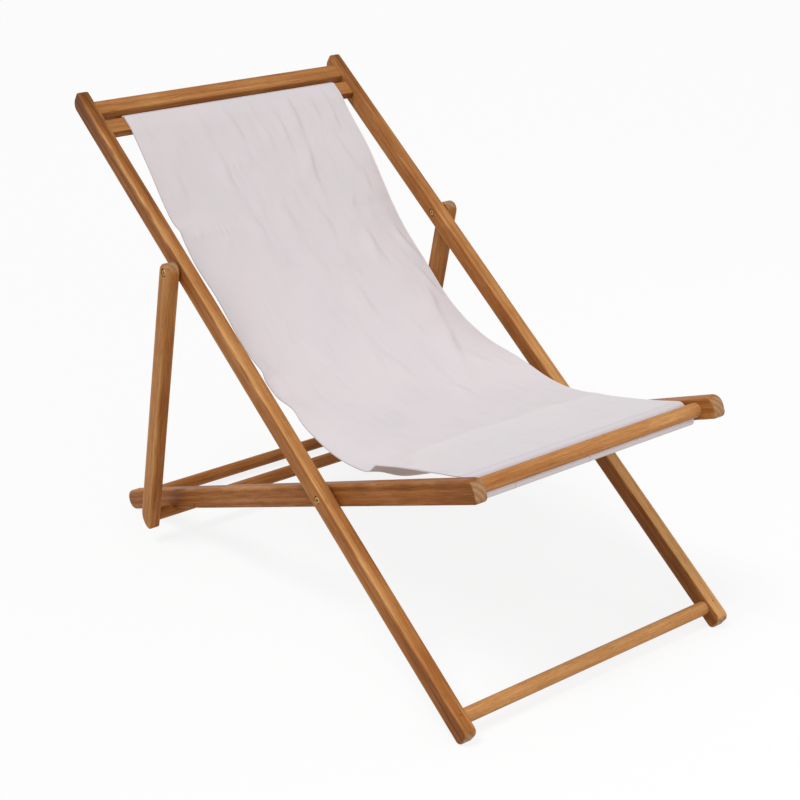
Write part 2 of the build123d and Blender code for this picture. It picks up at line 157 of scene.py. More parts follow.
class Shader:
    """The node tree of one material or world."""

    MATH_INPUTS = ("Value", "Value_001", "Value_002")

    def __init__(self, owner: Union[bpy.types.Material, bpy.types.World]) -> None:
        """Start an empty node tree.

        Args:
            owner: The new material or world.
        """
        owner.use_nodes = True
        self.owner = owner
        self.tree = owner.node_tree
        self.tree.nodes.clear()

    @classmethod
    def material(cls, name: str) -> "Shader":
        """Start a new material."""
        return cls(bpy.data.materials.new(name))

    @staticmethod
    def find(sockets: Any, key: str) -> bpy.types.NodeSocket:
        """Find a socket.

        Args:
            sockets: A node's inputs or outputs.
            key: Its identifier, or else its name.

        Returns:
            The socket.
        """
        for socket in sockets:
            if socket.identifier == key:
                return socket
        return sockets[key]

    def add(self, kind: str, settings: Settings = None, inputs: Inputs = None) -> bpy.types.Node:
        """Add one node.

        Args:
            kind: The node's type.
            settings: Its properties, set first; "stops" fills a colour ramp.
            inputs: Values or links of its sockets.

        Returns:
            The node.
        """
        node = self.tree.nodes.new(kind)
        for key, value in (settings or {}).items():
            if key == "stops":
                self.fill_ramp(node.color_ramp, value)
            else:
                setattr(node, key, value)
        for key, value in (inputs or {}).items():
            self.feed(self.find(node.inputs, key), value)
        return node

    def node(self, kind: str, settings: Settings = None, inputs: Inputs = None) -> Value:
        """Add one node and take its first output."""
        return Value(self, self.add(kind, settings, inputs).outputs[0])

    @staticmethod
    def fill_ramp(ramp: bpy.types.ColorRamp, stops: Sequence[tuple[float, Colour]]) -> None:
        """Give a colour ramp its stops.

        Args:
            ramp: The ramp, with two stops at first.
            stops: Place and colour of each stop.
        """
        while len(ramp.elements) < len(stops):
            ramp.elements.new(1.0)
        for element, (place, colour) in zip(ramp.elements, stops):
            element.position = place
            element.color = (*colour, 1.0)

    def feed(self, socket: bpy.types.NodeSocket, value: Link) -> None:
        """Fill one input.

        Args:
            socket: The input.
            value: A value to link, or a constant to set.
        """
        if isinstance(value, Value):
            self.tree.links.new(value.socket, socket)
        elif isinstance(value, (int, float)):
            socket.default_value = value
        else:
            size = len(socket.default_value)
            socket.default_value = (*value, 1.0)[:size] if len(value) < size else tuple(value)

    def math(self, operation: str, *operands: Term) -> Value:
        """Add one Math node with its operands in order."""
        inputs = dict(zip(self.MATH_INPUTS, operands))
        return self.node("ShaderNodeMath", {"operation": operation}, inputs)

    def mix(self, factor: Link, first: Link, second: Link, blend: str = "MIX") -> Value:
        """Mix two colours.

        Args:
            factor: Share of the second colour.
            first: First colour.
            second: Second colour.
            blend: The Mix node's blend type.

        Returns:
            The mixed colour.
        """
        settings = {"data_type": "RGBA", "blend_type": blend}
        inputs = {"Factor_Float": factor, "A_Color": first, "B_Color": second}
        return self.node("ShaderNodeMix", settings, inputs).output("Result_Color")

    def noise(self, place: Value, speckle: Speckle) -> Value:
        """Noise whose grain has its own density along each axis.

        Args:
            place: Coordinates in metres.
            speckle: Its density, octaves and step.

        Returns:
            Noise from 0 to 1 about a half, or its step.
        """
        stretch = {"Vector": place, "Scale": speckle.scale}
        stretched = self.node("ShaderNodeMapping", {"vector_type": "POINT"}, stretch)
        inputs = {"Vector": stretched, "Scale": 1.0, "Detail": speckle.detail}
        noise = self.node("ShaderNodeTexNoise", {}, inputs)
        return noise.step(*speckle.cut) if speckle.cut else noise

    def place(self) -> Value:
        """Object coordinates in metres."""
        return self.node("ShaderNodeTexCoord").output("Object")

    def split(self, vector: Value) -> tuple[Value, Value, Value]:
        """The three parts of a vector."""
        parts = self.node("ShaderNodeSeparateXYZ", {}, {"Vector": vector})
        return parts.output("X"), parts.output("Y"), parts.output("Z")

    def blend(self, factor: Link, first: Value, second: Value) -> Value:
        """Mix two shaders; the factor is the share of the second."""
        inputs = {"Fac": factor, "Shader": first, "Shader_001": second}
        return self.node("ShaderNodeMixShader", {}, inputs)

    def bump(self, height: Value, strength: float, distance: float) -> Value:
        """Turn a height into a bumped normal."""
        inputs = {"Strength": strength, "Distance": distance, "Height": height}
        return self.node("ShaderNodeBump", {}, inputs)

    def surface(self, inputs: dict[str, Link]) -> bpy.types.Material:
        """Close the material with a Principled shader.

        Args:
            inputs: Values or links of the shader's sockets.

        Returns:
            The finished material.
        """
        shader = self.node("ShaderNodeBsdfPrincipled", {}, inputs)
        self.add("ShaderNodeOutputMaterial", {}, {"Surface": shader})
        return self.owner


class Grain(Enum):
    """Turn about X and Z, in degrees, that lays a piece's length along local Y."""

    BACK_RAIL = (-36.0, 0.0)
    SEAT_RAIL = (21.0537, 0.0)
    PROP_STRUT = (76.3353, 0.0)
    ACROSS = (0.0, 90.0)

    def turn(self) -> Euler:
        """The turn as Euler angles."""
        return Euler((math.radians(self.value[0]), 0.0, math.radians(self.value[1])))


@dataclass(frozen=True)
class OiledWood:
    """Oiled hardwood with streaks, pores, paler end grain, pale edge bands of abrasion and painted
    highlight, and painted side shade and sheen.
    """

    deep: Colour = (0.160, 0.051, 0.012)
    warm: Colour = (0.340, 0.121, 0.029)
    gold: Colour = (0.492, 0.218, 0.070)
    pale: Colour = (0.650, 0.340, 0.128)
    shades: tuple[float, ...] = (0.10, 0.40, 0.66, 0.95)
    end_dark: Colour = (0.270, 0.130, 0.055)
    end_pale: Colour = (0.480, 0.290, 0.150)
    slow: Speckle = Speckle((9.0, 1.6, 9.0), 1.0)
    streaks: Speckle = Speckle((130.0, 2.0, 130.0))
    fibres: Speckle = Speckle((760.0, 24.0, 760.0))
    clouds: Speckle = Speckle((34.0, 9.0, 34.0))
    pores: Speckle = Speckle((2400.0, 75.0, 2400.0), 0.0, (0.60, 0.74))
    seed_start: int = 3
    pith_near: Triple = (0.021, 0.0, 0.017)
    pith_step: Triple = (0.003, 0.37, 0.004)
    pith_cycle: tuple[int, int, int] = (7, 11, 5)
    ring: float = 0.0085
    wander: float = 0.016
    ring_share: float = 0.035
    streak_share: float = 0.60
    fibre_share: float = 0.50
    cloud_share: float = 0.38
    side_turn: Pair = (0.55, 0.85)
    # pale edge bands, partly abrasion and partly a painted highlight on the rounded edges
    wear_highlight_band: Pair = (0.0025, 0.0105)
    wear_highlight_wander: float = 0.006
    wear_highlight_clouds: Pair = (0.42, 0.60)
    wear_highlight_fibres: Pair = (0.30, 0.62)
    wear_highlight_least: float = 0.12
    # share by which the painted sheen strengthens the bands' painted highlight
    band_sheen_share: float = 3.0
    end_turn: Pair = (0.42, 0.85)
    end_length: float = 0.040
    end_rings: float = 0.5
    pore_stain: float = 0.40
    fibre_height: float = 0.6
    bump_strength: float = 0.16
    bump_distance: float = 0.0004
    roughness: float = 0.52
    streak_gloss: float = 0.16
    pore_roughness: float = 0.12
    specular: float = 0.08
    coat_fibres: Pair = (0.35, 0.70)
    coat: float = 0.07
    coat_least: float = 0.01
    coat_roughness: float = 0.30

    def pith(self, node: str) -> Vector:
        """Place the pith beside a piece, spread out by the letters of its name.

        Args:
            node: Name of the piece's node.

        Returns:
            The pith's place from the piece's middle, in metres.
        """
        seed = sum(ord(letter) * count for count, letter in enumerate(node, self.seed_start))
        parts = zip(self.pith_near, self.pith_step, self.pith_cycle)
        return Vector([near + step * (seed % cycle) for near, step, cycle in parts])

    def material(self, piece: "WoodPiece") -> bpy.types.Material:
        """Make the wood of one piece.

        Rings are circles about a pith beside the piece, bent by slow noise. Streaks, fibres and
        pores are noise drawn out along the grain. The end grain shows at the piece's ends where
        the surface faces along it. The pale bands near the long edges, where the larger of the two
        insets from the piece's sides is small, are partly abrasion and partly a painted highlight
        of the rounded edges. The tone also carries painted light and shade on the sides that look
        across the piece, and a painted sheen across the front that lightens one side and darkens
        the other.

        Args:
            piece: The piece, with its grain and tone.

        Returns:
            The finished material.
        """
        shader = Shader.material("wood_" + piece.node)
        turn = piece.grain.turn()
        spots = node_points(piece.node) @ np.array(turn.to_matrix()).T
        low, high = spots.min(axis=0), spots.max(axis=0)
        wide, half, thick = (float(size) / 2 for size in high - low)
        pith = self.pith(piece.node)
        coordinates = shader.node("ShaderNodeTexCoord")
        lay = {
            "Vector": coordinates.output("Object"),
            "Rotation": turn,
            "Location": pith - Vector((low + high) / 2),
        }
        place = shader.node("ShaderNodeMapping", {"vector_type": "POINT"}, lay)
        across, along, deep = shader.split(place)
        look = {"Vector": coordinates.output("Normal"), "Rotation": turn}
        facing = shader.node("ShaderNodeMapping", {"vector_type": "VECTOR"}, look)
        side, end, _ = (abs(part) for part in shader.split(facing))
        sideways = side.step(*self.side_turn)

        slow = shader.noise(place, self.slow)
        radius = (across * across + deep * deep) ** 0.5
        rings = ((radius + slow * self.wander) * (math.tau / self.ring)).sine()
        streaks = shader.noise(place, self.streaks)
        fibres = shader.noise(place, self.fibres)
        clouds = shader.noise(place, self.clouds)
        pores = shader.noise(place, self.pores)

        share = (along - pith.y) / half
        # painted sheen and shade: the front lighter on one side and darker on the other, most half
        # way along
        painted_sheen = (across - pith.x) / wide * (1.0 - share * share) * piece.painted_sheen
        middle = 0.5 - 0.5 * (self.streak_share + self.fibre_share + self.cloud_share)
        shade = rings * self.ring_share + streaks * self.streak_share
        shade = shade + fibres * self.fibre_share + clouds * self.cloud_share
        # the drift and bow are partly the wood's own tone and partly painted sheen and shade along
        # the piece
        shade = shade + share * piece.drift - share * share * piece.bow + (piece.tone + middle)
        # painted light and shade on the faces that look across the piece, drifting along it
        shade = shade + sideways * (share * piece.side_shading_drift + piece.side_shading)
        shade = shade + painted_sheen * (1.0 - sideways)
        stops = tuple(zip(self.shades, (self.deep, self.warm, self.gold, self.pale)))
        colour = shader.node("ShaderNodeValToRGB", {"stops": stops}, {"Fac": shade})
        # pale edge bands: partly abrasion, partly a painted highlight, stronger on the painted
        # sheen's lit side
        if piece.wear_and_highlight > 0.0:
            inset = (wide - abs(across - pith.x)).largest(thick - abs(deep - pith.z))
            band = 1.0 - (inset + slow * self.wear_highlight_wander).step(*self.wear_highlight_band)
            rubbed_and_highlit = clouds.step(*self.wear_highlight_clouds) * fibres.step(*self.wear_highlight_fibres)
            patches = self.wear_highlight_least + rubbed_and_highlit * (1.0 - self.wear_highlight_least)
            wear_highlight_band = band * patches * (1.0 + painted_sheen * self.band_sheen_share)
            colour = shader.mix(wear_highlight_band * piece.wear_and_highlight, colour, self.pale)
        tip = abs(along - pith.y).step(half - self.end_length, half - self.end_length / 2)
        sawn = rings.share() * self.end_rings + fibres * (1.0 - self.end_rings)
        cut = shader.mix(sawn, self.end_dark, self.end_pale)
        colour = shader.mix(end.step(*self.end_turn) * tip, colour, cut)
        colour = shader.mix(pores * self.pore_stain, colour, self.deep)
        height = fibres * self.fibre_height - pores
        gloss = fibres.step(*self.coat_fibres)
        rough = self.roughness - streaks * self.streak_gloss + pores * self.pore_roughness
        return shader.surface(
            {
                "Base Color": colour,
                "Roughness": rough,
                "Normal": shader.bump(height, self.bump_strength, self.bump_distance),
                "Specular IOR Level": self.specular,
                "Coat Weight": gloss * self.coat + self.coat_least,
                "Coat Roughness": self.coat_roughness,
            }
        )


@dataclass(frozen=True)
class Canvas:
    """Plain-woven off-white cotton canvas; lengths along the strip are in metres."""

    cool: Colour = (0.725, 0.682, 0.697)
    blush: Colour = (0.760, 0.688, 0.708)
    # more neutral, paler front colour: partly tint, partly painted light
    plain_and_lit: Colour = (0.785, 0.750, 0.762)
    # painted shade over the front dowel
    nose_shade: Colour = (0.88, 0.87, 0.90)
    thread_shade: Colour = (0.600, 0.540, 0.550)
    # painted crease shade
    painted_crease_shade: Colour = (0.560, 0.510, 0.525)
    pitch: float = 0.0011
    warp: Speckle = Speckle((900.0, 20.0, 1.0), 1.0)
    weft: Speckle = Speckle((20.0, 900.0, 1.0), 1.0)
    tint: Speckle = Speckle((9.0, 6.0, 1.0), 3.0, (0.30, 0.70))
    drawn: Speckle = Speckle((30.0, 5.0, 1.0))
    patches: Speckle = Speckle((17.0, 13.0, 1.0), 1.0, (0.46, 0.62))
    plain_and_lit_span: Pair = (0.76, 0.96)
    plain_and_lit_share: float = 0.8
    nose_shade_span: Pair = (1.058, 1.070)
    slub: float = 0.16
    slub_least: float = 0.08
    painted_crease_width: float = 0.035
    painted_crease_share: float = 0.11
    weave_height: float = 0.5
    thread_height: float = 0.4
    bump_strength: float = 0.12
    bump_distance: float = 0.0003
    roughness: float = 0.86
    weave_roughness: float = 0.05
    specular: float = 0.25
    sheen: float = 0.12
    sheen_roughness: float = 0.5

    def material(self) -> bpy.types.Material:
        """Make the canvas.

        Warp and weft are sines of the cloth's own UV map, whose product raises each crossing.
        Slubs are noise drawn out along the threads, and slow noise tints the dye lot. Towards the
        seat's front the colour turns more neutral and paler, partly tint and partly painted light.
        A painted shade darkens the cloth where it rounds the front dowel. Faint painted crease
        shade follows the half-way contour of a noise drawn out along the strip, in patches.

        Returns:
            The finished material.
        """
        shader = Shader.material("canvas")
        place = shader.node("ShaderNodeUVMap", {"uv_map": "cloth"})
        across, along, _ = shader.split(place)
        turn = math.pi / self.pitch
        weave = (across * turn).sine() * (along * turn).sine()
        warp = shader.noise(place, self.warp)
        weft = shader.noise(place, self.weft)
        colour = shader.mix(shader.noise(place, self.tint), self.cool, self.blush)
        # towards the seat's front: more neutral and paler, partly tint and partly painted light
        plain_lit_front = along.step(*self.plain_and_lit_span) * self.plain_and_lit_share
        colour = shader.mix(plain_lit_front, colour, self.plain_and_lit)
        # painted shade where the cloth rounds the front dowel
        painted_nose_shade = along.step(*self.nose_shade_span)
        colour = shader.mix(painted_nose_shade, colour, self.nose_shade, "MULTIPLY")
        slub = (warp + weft - 1.0) * self.slub + self.slub_least
        colour = shader.mix(slub, colour, self.thread_shade)
        # painted crease shade: faint darker lines in patches, in the colour only
        contour = abs(shader.noise(place, self.drawn) - 0.5).step(0.0, self.painted_crease_width)
        crease = (1.0 - contour) * shader.noise(place, self.patches)
        colour = shader.mix(crease * self.painted_crease_share, colour, self.painted_crease_shade)
        height = weave * self.weave_height + (warp + weft) * self.thread_height
        return shader.surface(
            {
                "Base Color": colour,
                "Roughness": self.roughness + weave * self.weave_roughness,
                "Normal": shader.bump(height, self.bump_strength, self.bump_distance),
                "Specular IOR Level": self.specular,
                "Sheen Weight": self.sheen,
                "Sheen Roughness": self.sheen_roughness,
            }
        )


@dataclass(frozen=True)
class Thread:
    """Sewing thread of the hems."""

    colour: Colour = (0.46, 0.42, 0.43)
    twist: float = 0.0006
    # painted shade between the twisted strands
    hollow_shade: float = 0.7
    hollow_shade_share: float = 0.4
    roughness: float = 0.8

    def material(self) -> bpy.types.Material:
        """Make the thread: a fine twist on Object coordinates, with painted shade between its
        strands.

        Returns:
            The finished material.
        """
        shader = Shader.material("thread")
        place = shader.place()
        x, y, z = shader.split(place)
        twist = ((x + y + z) * (math.tau / self.twist)).sine().share()
        # painted shade between the twisted strands
        dark = tuple(self.hollow_shade * part for part in self.colour)
        colour = shader.mix(twist * self.hollow_shade_share, self.colour, dark)
        return shader.surface({"Base Color": colour, "Roughness": self.roughness})


@dataclass(frozen=True)
class Metal:
    """Plated fastener metal with a light tarnish."""

    name: str
    bright: Colour
    dull: Colour
    roughness: float
    tarnish: Speckle = Speckle((420.0, 420.0, 420.0), 4.0, (0.42, 0.68))
    tarnish_share: float = 0.7
    tarnish_roughness: float = 0.22
    scratch: Speckle = Speckle((1800.0, 1800.0, 1800.0), 1.0)
    scratch_roughness: float = 0.1

    def material(self) -> bpy.types.Material:
        """Make the metal: noise spreads the tarnish and roughens it.

        Returns:
            The finished material.
        """
        shader = Shader.material(self.name)
        place = shader.place()
        tarnish = shader.noise(place, self.tarnish)
        rough = tarnish * self.tarnish_roughness
        rough = rough + shader.noise(place, self.scratch) * self.scratch_roughness
        return shader.surface(
            {
                "Base Color": shader.mix(tarnish * self.tarnish_share, self.bright, self.dull),
                "Metallic": 1.0,
                "Roughness": rough + self.roughness,
            }
        )


@dataclass(frozen=True)
class Nylon:
    """Dark moulded nylon of the spacing washers."""

    colour: Colour = (0.030, 0.026, 0.023)
    lighter: float = 1.8
    grain: Speckle = Speckle((900.0, 900.0, 900.0))
    roughness: float = 0.42
    grain_roughness: float = 0.2

    def material(self) -> bpy.types.Material:
        """Make the nylon: fine noise gives its moulded grain.

        Returns:
            The finished material.
        """
        shader = Shader.material("nylon")
        place = shader.place()
        grain = shader.noise(place, self.grain)
        lighter = tuple(self.lighter * part for part in self.colour)
        return shader.surface(
            {
                "Base Color": shader.mix(grain, self.colour, lighter),
                "Roughness": grain * self.grain_roughness + self.roughness,
            }
        )


def node_points(node: str) -> Array:
    """Points of a CAD node's mesh.

    Args:
        node: Name of the node.

    Returns:
        One row for each point, in metres.
    """
    piece = frame["nodes"][node]
    spots = np.zeros(len(piece.data.vertices) * 3, np.float32)
    piece.data.vertices.foreach_get("co", spots)
    world = np.array(piece.matrix_world)
    return spots.reshape(-1, 3) @ world[:3, :3].T + world[:3, 3]


@dataclass(frozen=True)
class WoodPiece:
    """One wooden node: its grain's direction and its tone.

    The tone drifts towards one end and falls by the bow at both ends; these changes are partly
    the wood's own tone and partly painted sheen and shade. On the sides that look across the
    piece the tone changes by painted light and shade, which drifts along the piece too. The pale
    bands along its edges are partly abrasion and partly a painted highlight, at a strength set per
    piece. Across the front a painted sheen lightens one side and darkens the other, most half way
    along, and shifts the bands' painted highlight the same way.
    """

    node: str
    grain: Grain
    tone: float = 0.0
    drift: float = 0.0
    bow: float = 0.0
    side_shading: float = 0.0
    wear_and_highlight: float = 0.45
    side_shading_drift: float = 0.0
    painted_sheen: float = 0.0


@dataclass
class WoodFrame:
    """A frame of wooden rails and cross pieces, dressed piece by piece."""

    name: str
    wood: OiledWood
    pieces: list[WoodPiece]

    def dress(self) -> None:
        """Give every piece of the frame its own wood."""
        for piece in self.pieces:
            dress_node(piece.node, self.wood.material(piece))
        LOG.info("%s: %d wooden pieces", self.name, len(self.pieces))


def dress_node(node: str, material: bpy.types.Material) -> None:
    """Put one material on a CAD node.

    Args:
        node: Name of the node.
        material: Its finish.
    """
    materials = frame["nodes"][node].data.materials
    materials.clear()
    materials.append(material)


@dataclass
class Hardware:
    """Bolts, nuts, brads and washers."""

    bolt_brass: Metal
    brad_brass: Metal
    nylon: Nylon
    bolts: tuple[str, ...] = ("seat_bolts", "seat_nuts", "prop_bolts", "prop_nuts")
    brads: tuple[str, ...] = ("back_brads", "seat_brads", "prop_brads")
    washers: tuple[str, ...] = ("seat_washers", "prop_washers")

    def dress(self) -> None:
        """Give the fasteners their metal and the washers their nylon."""
        finishes = (self.bolt_brass, self.brad_brass, self.nylon)
        for nodes, finish in zip((self.bolts, self.brads, self.washers), finishes):
            material = finish.material()
            for node in nodes:
                dress_node(node, material)
        LOG.info("hardware: %d nodes", len(self.bolts + self.brads + self.washers))


def mesh_object(
    name: str, points: Array, faces: Array, material: bpy.types.Material
) -> bpy.types.Object:
    """Make a smooth mesh object at the origin.

    Args:
        name: Name of the piece.
        points: Vertices, one row each, in metres.
        faces: Quads, one row of vertex numbers each.
        material: Its finish.

    Returns:
        The new object, linked to the scene.
    """
    mesh = bpy.data.meshes.new(name)
    mesh.from_pydata(points.tolist(), [], faces.tolist())
    mesh.polygons.foreach_set("use_smooth", np.ones(len(faces), bool))
    mesh.materials.append(material)
    mesh.update()
    piece = bpy.data.objects.new(name, mesh)
    bpy.context.scene.collection.objects.link(piece)
    return piece


def grid_quads(rows: int, columns: int, closed: bool = False) -> Array:
    """Quads of a grid of points, row by row.

    Args:
        rows: Number of rows.
        columns: Number of columns.
        closed: True where the last column joins the first.

    Returns:
        One row of four vertex numbers for each quad.
    """
    row = np.arange(rows - 1)[:, None]
    column = np.arange(columns if closed else columns - 1)[None, :]
    right = (column + 1) % columns
    corners = (row * columns + column, row * columns + right)
    above = ((row + 1) * columns + right, (row + 1) * columns + column)
    return np.stack(np.broadcast_arrays(*corners, *above), axis=-1).reshape(-1, 4)


def smooth(share: Array) -> Array:
    """Smooth step of a share, held between 0 and 1."""
    held = np.clip(share, 0.0, 1.0)
    return held * held * (3.0 - 2.0 * held)


@dataclass(frozen=True)
class Side:
    """Side view of the chair: points along and across its tilted rails, as (y, z) in metres."""

    pivot: Pair
    back_tilt: float = math.radians(36.0)
    seat_tilt: float = math.radians(21.0537261)

    def rail(self, along: Array, level: Array, rise: float) -> Array:
        """Turn places on a rail about the pivot.

        Args:
            along: Places along the rail, towards the chair's rear.
            level: Places across it, towards its upper face.
            rise: Angle by which the rail rises to the rear.

        Returns:
            Points, one row each.
        """
        cos, sin = math.cos(rise), math.sin(rise)
        along, level = np.asarray(along, float), np.asarray(level, float)
        y = self.pivot[0] + along * cos - level * sin
        z = self.pivot[1] + along * sin + level * cos
        return np.stack([y, z], -1)

    def back(self, along: Array, level: Array) -> Array:
        """Points along the back rail (towards its head) and across it (towards its front)."""
        return self.rail(along, level, self.back_tilt)

    def seat(self, along: Array, level: Array) -> Array:
        """Points along the seat rail (towards its rear) and across it (towards its top)."""
        return self.rail(along, level, -self.seat_tilt)


@dataclass(frozen=True)
class EdgeWave:
    """A soft wave beside one edge, in millimetres: a bell along the edge, a bell across it."""

    at: float
    before: float
    after: float
    height: float
    inset: float
    spread: float

    def lift(self, inside: Array, along: Array) -> Array:
        """Height of the wave, the product of its two bells.

        Args:
            inside: Distance inside the edge.
            along: Place along the edge.

        Returns:
            Heights, one for each point of the grid.
        """
        reach = np.where(along < self.at, self.before, self.after)
        run = np.exp(-(((along - self.at) / reach) ** 2))
        return self.height * run * np.exp(-(((inside - self.inset) / self.spread) ** 2))


@dataclass(frozen=True)
class Fold:
    """A lengthwise ridge of the cloth, in millimetres, gentle to one side and steep to the other.

    Its line sways by sines of these heights, lengths and phases, and its height breaks by one of
    this level, depth, length and phase.
    """

    SWAYS = ((2.8, 29.0, 1.0), (1.2, 11.0, 2.0))
    BREAK = (0.64, 0.36, 17.0, 1.7)
    TAPER = 0.7

    start: float
    end: float
    from_x: float
    to_x: float
    width: float
    height: float
    gentle: float = 3.0
    steep: float = 1.0

    def lift(self, across: Array, along: Array) -> Array:
        """Height of the ridge: a bell across a swaying line, broken along it, faded at its ends.

        Args:
            across: Place across the cloth.
            along: Place along the cloth.

        Returns:
            Heights, one for each point of the grid.
        """
        run = np.clip((along - self.start) / (self.end - self.start), 0.0, 1.0)
        sway = sum(
            height * np.sin(along / length + phase * self.from_x)
            for height, length, phase in self.SWAYS
        )
        away = across - self.from_x - (self.to_x - self.from_x) * run - sway
        width = self.width * np.where(away < 0.0, self.gentle, self.steep)
        level, depth, length, phase = self.BREAK
        broken = level + depth * np.sin(along / length + phase * self.from_x)
        faded = np.sin(np.pi * run) ** self.TAPER
        return self.height * broken * faded * np.exp(-((away / width) ** 2))


@dataclass(frozen=True)
class Crease:
    """A line across the cloth where it was once folded, in millimetres; ripple puckers it.

    The line sways by a height and length and slants. Its tucks have a length, drift by a sine and
    vary in depth by another, and its peak is blunted.
    """

    SWAY = (1.5, 19.0)
    SLANT = 0.02
    TUCK = 1.9
    TUCK_DRIFT = (1.3, 5.1)
    TUCK_DEPTH = (0.55, 0.45, 7.3)
    BLUNT = 2.0

    at: float
    from_x: float
    to_x: float
    height: float
    reach: float
    ripple: float = 0.0
    fade: float = 25.0

    def lift(self, across: Array, along: Array) -> Array:
        """Height of the crease: a peak that falls off exponentially from a swaying line.

        Args:
            across: Place across the cloth.
            along: Place along the cloth.

        Returns:
            Heights, one for each point of the grid.
        """
        first = np.clip((across - self.from_x) / self.fade + 0.5, 0.0, 1.0)
        last = np.clip((self.to_x - across) / self.fade + 0.5, 0.0, 1.0)
        sway = self.SWAY[0] * np.sin(across / self.SWAY[1])
        away = along - self.at - sway - self.SLANT * across
        drift = self.TUCK_DRIFT[0] * np.sin(across / self.TUCK_DRIFT[1])
        level, swing, length = self.TUCK_DEPTH
        tuck = np.sin(across / self.TUCK + drift) * (level + swing * np.sin(across / length))
        pucker = 1.0 + self.ripple * tuck
        fall = np.exp(-np.sqrt(away**2 + self.BLUNT**2) / self.reach)
        return self.height * pucker * first * last * fall


NEAR_WAVES = (
    EdgeWave(165, 60, 22, -6.2, 0, 60),
    EdgeWave(196, 8, 9, 3, 0, 10),
    EdgeWave(262, 45, 50, -7, 0, 40),
    EdgeWave(335, 140, 150, 20, -16, 40),
    EdgeWave(484, 32, 9, 7.5, 0, 22),
    EdgeWave(530, 18, 22, -2.2, 0, 20),
    EdgeWave(575, 30, 20, 8, 0, 40),
    EdgeWave(665, 60, 55, -6.5, 0, 30),
    EdgeWave(750, 85, 90, -21, 8, 46),
    EdgeWave(825, 50, 70, -9, 24, 16),
    EdgeWave(785, 14, 105, 13, 0, 10),
)
FAR_WAVES = (
    EdgeWave(110, 60, 60, 6.2, 0, 80),
    EdgeWave(262, 65, 65, -4.6, 0, 110),
    EdgeWave(425, 62, 62, -5.2, 0, 70),
    EdgeWave(615, 75, 75, 12, 0, 75),
    EdgeWave(745, 85, 85, -1.5, 0, 70),
)
FOLDS = (
    Fold(-25, 330, -88, -62, 6.5, 3.2),
    Fold(-25, 70, -26, -24, 4, 2),
    Fold(110, 350, -10, 8, 6.5, 2.7),
    Fold(-25, 90, 24, 27, 4, 2),
    Fold(-25, 120, 62, 60, 4.5, 2.4),
    Fold(-25, 200, 100, 80, 6, 4.8),
    Fold(-25, 70, 176, 170, 4.5, 3.2),
    Fold(-25, 45, 140, 143, 4, 2.4),
    Fold(170, 320, 56, 63, 6, 2.5),
    Fold(190, 390, 120, 142, 6, 2.8),
    Fold(185, 217, 143, 128, 3, 2.2),
    Fold(310, 460, 50, 50, 7, 3.1),
    Fold(30, 190, 152, 172, 6, 2),
    Fold(60, 170, -166, -180, 6, 2),
    Fold(340, 460, -122, -92, 6, 1.8),
    Fold(430, 560, -82, -72, 7, 1.8),
    Fold(440, 620, 8, 28, 7, 2),
    Fold(540, 730, 78, 64, 7, 2),
    Fold(250, 345, 190, 204, 3.2, 3.4),
    Fold(305, 420, 176, 200, 3.6, 2.8),
    Fold(385, 620, 186, 112, 9, 6.4),
)
CREASES = (
    Crease(211, -211, -95, 1.7, 5, 1.15),
    Crease(211, 125, 211, -1.8, 5),
    Crease(476, 110, 211, -1.6, 5),
    Crease(797, -150, 211, 3.4, 34),
    Crease(797, -110, 211, 0.8, 7),
)


@dataclass(frozen=True)
class Crumple:
    """Small wrinkles strewn over the cloth from a fixed seed, with their spans in millimetres."""

    seed: int = 11
    count: int = 150
    height: float = 1.15
    starts: Pair = (0.0, 880.0)
    lengths: Pair = (30.0, 120.0)
    places: Pair = (-190.0, 190.0)
    slants: Pair = (-22.0, 30.0)
    widths: Pair = (2.8, 6.0)
    height_shares: Pair = (0.25, 1.0)

    def folds(self) -> list[Fold]:
        """Draw the wrinkles.

        Returns:
            One small fold for each wrinkle.
        """
        draw = np.random.default_rng(self.seed)
        start = draw.uniform(*self.starts, self.count)
        length = draw.uniform(*self.lengths, self.count)
        place = draw.uniform(*self.places, self.count)
        slant = draw.uniform(*self.slants, self.count)
        width = draw.uniform(*self.widths, self.count)
        height = draw.uniform(*self.height_shares, self.count) * self.height
        rows = np.stack([start, start + length, place, place + slant, width, height], -1)
        return [Fold(*row) for row in rows]


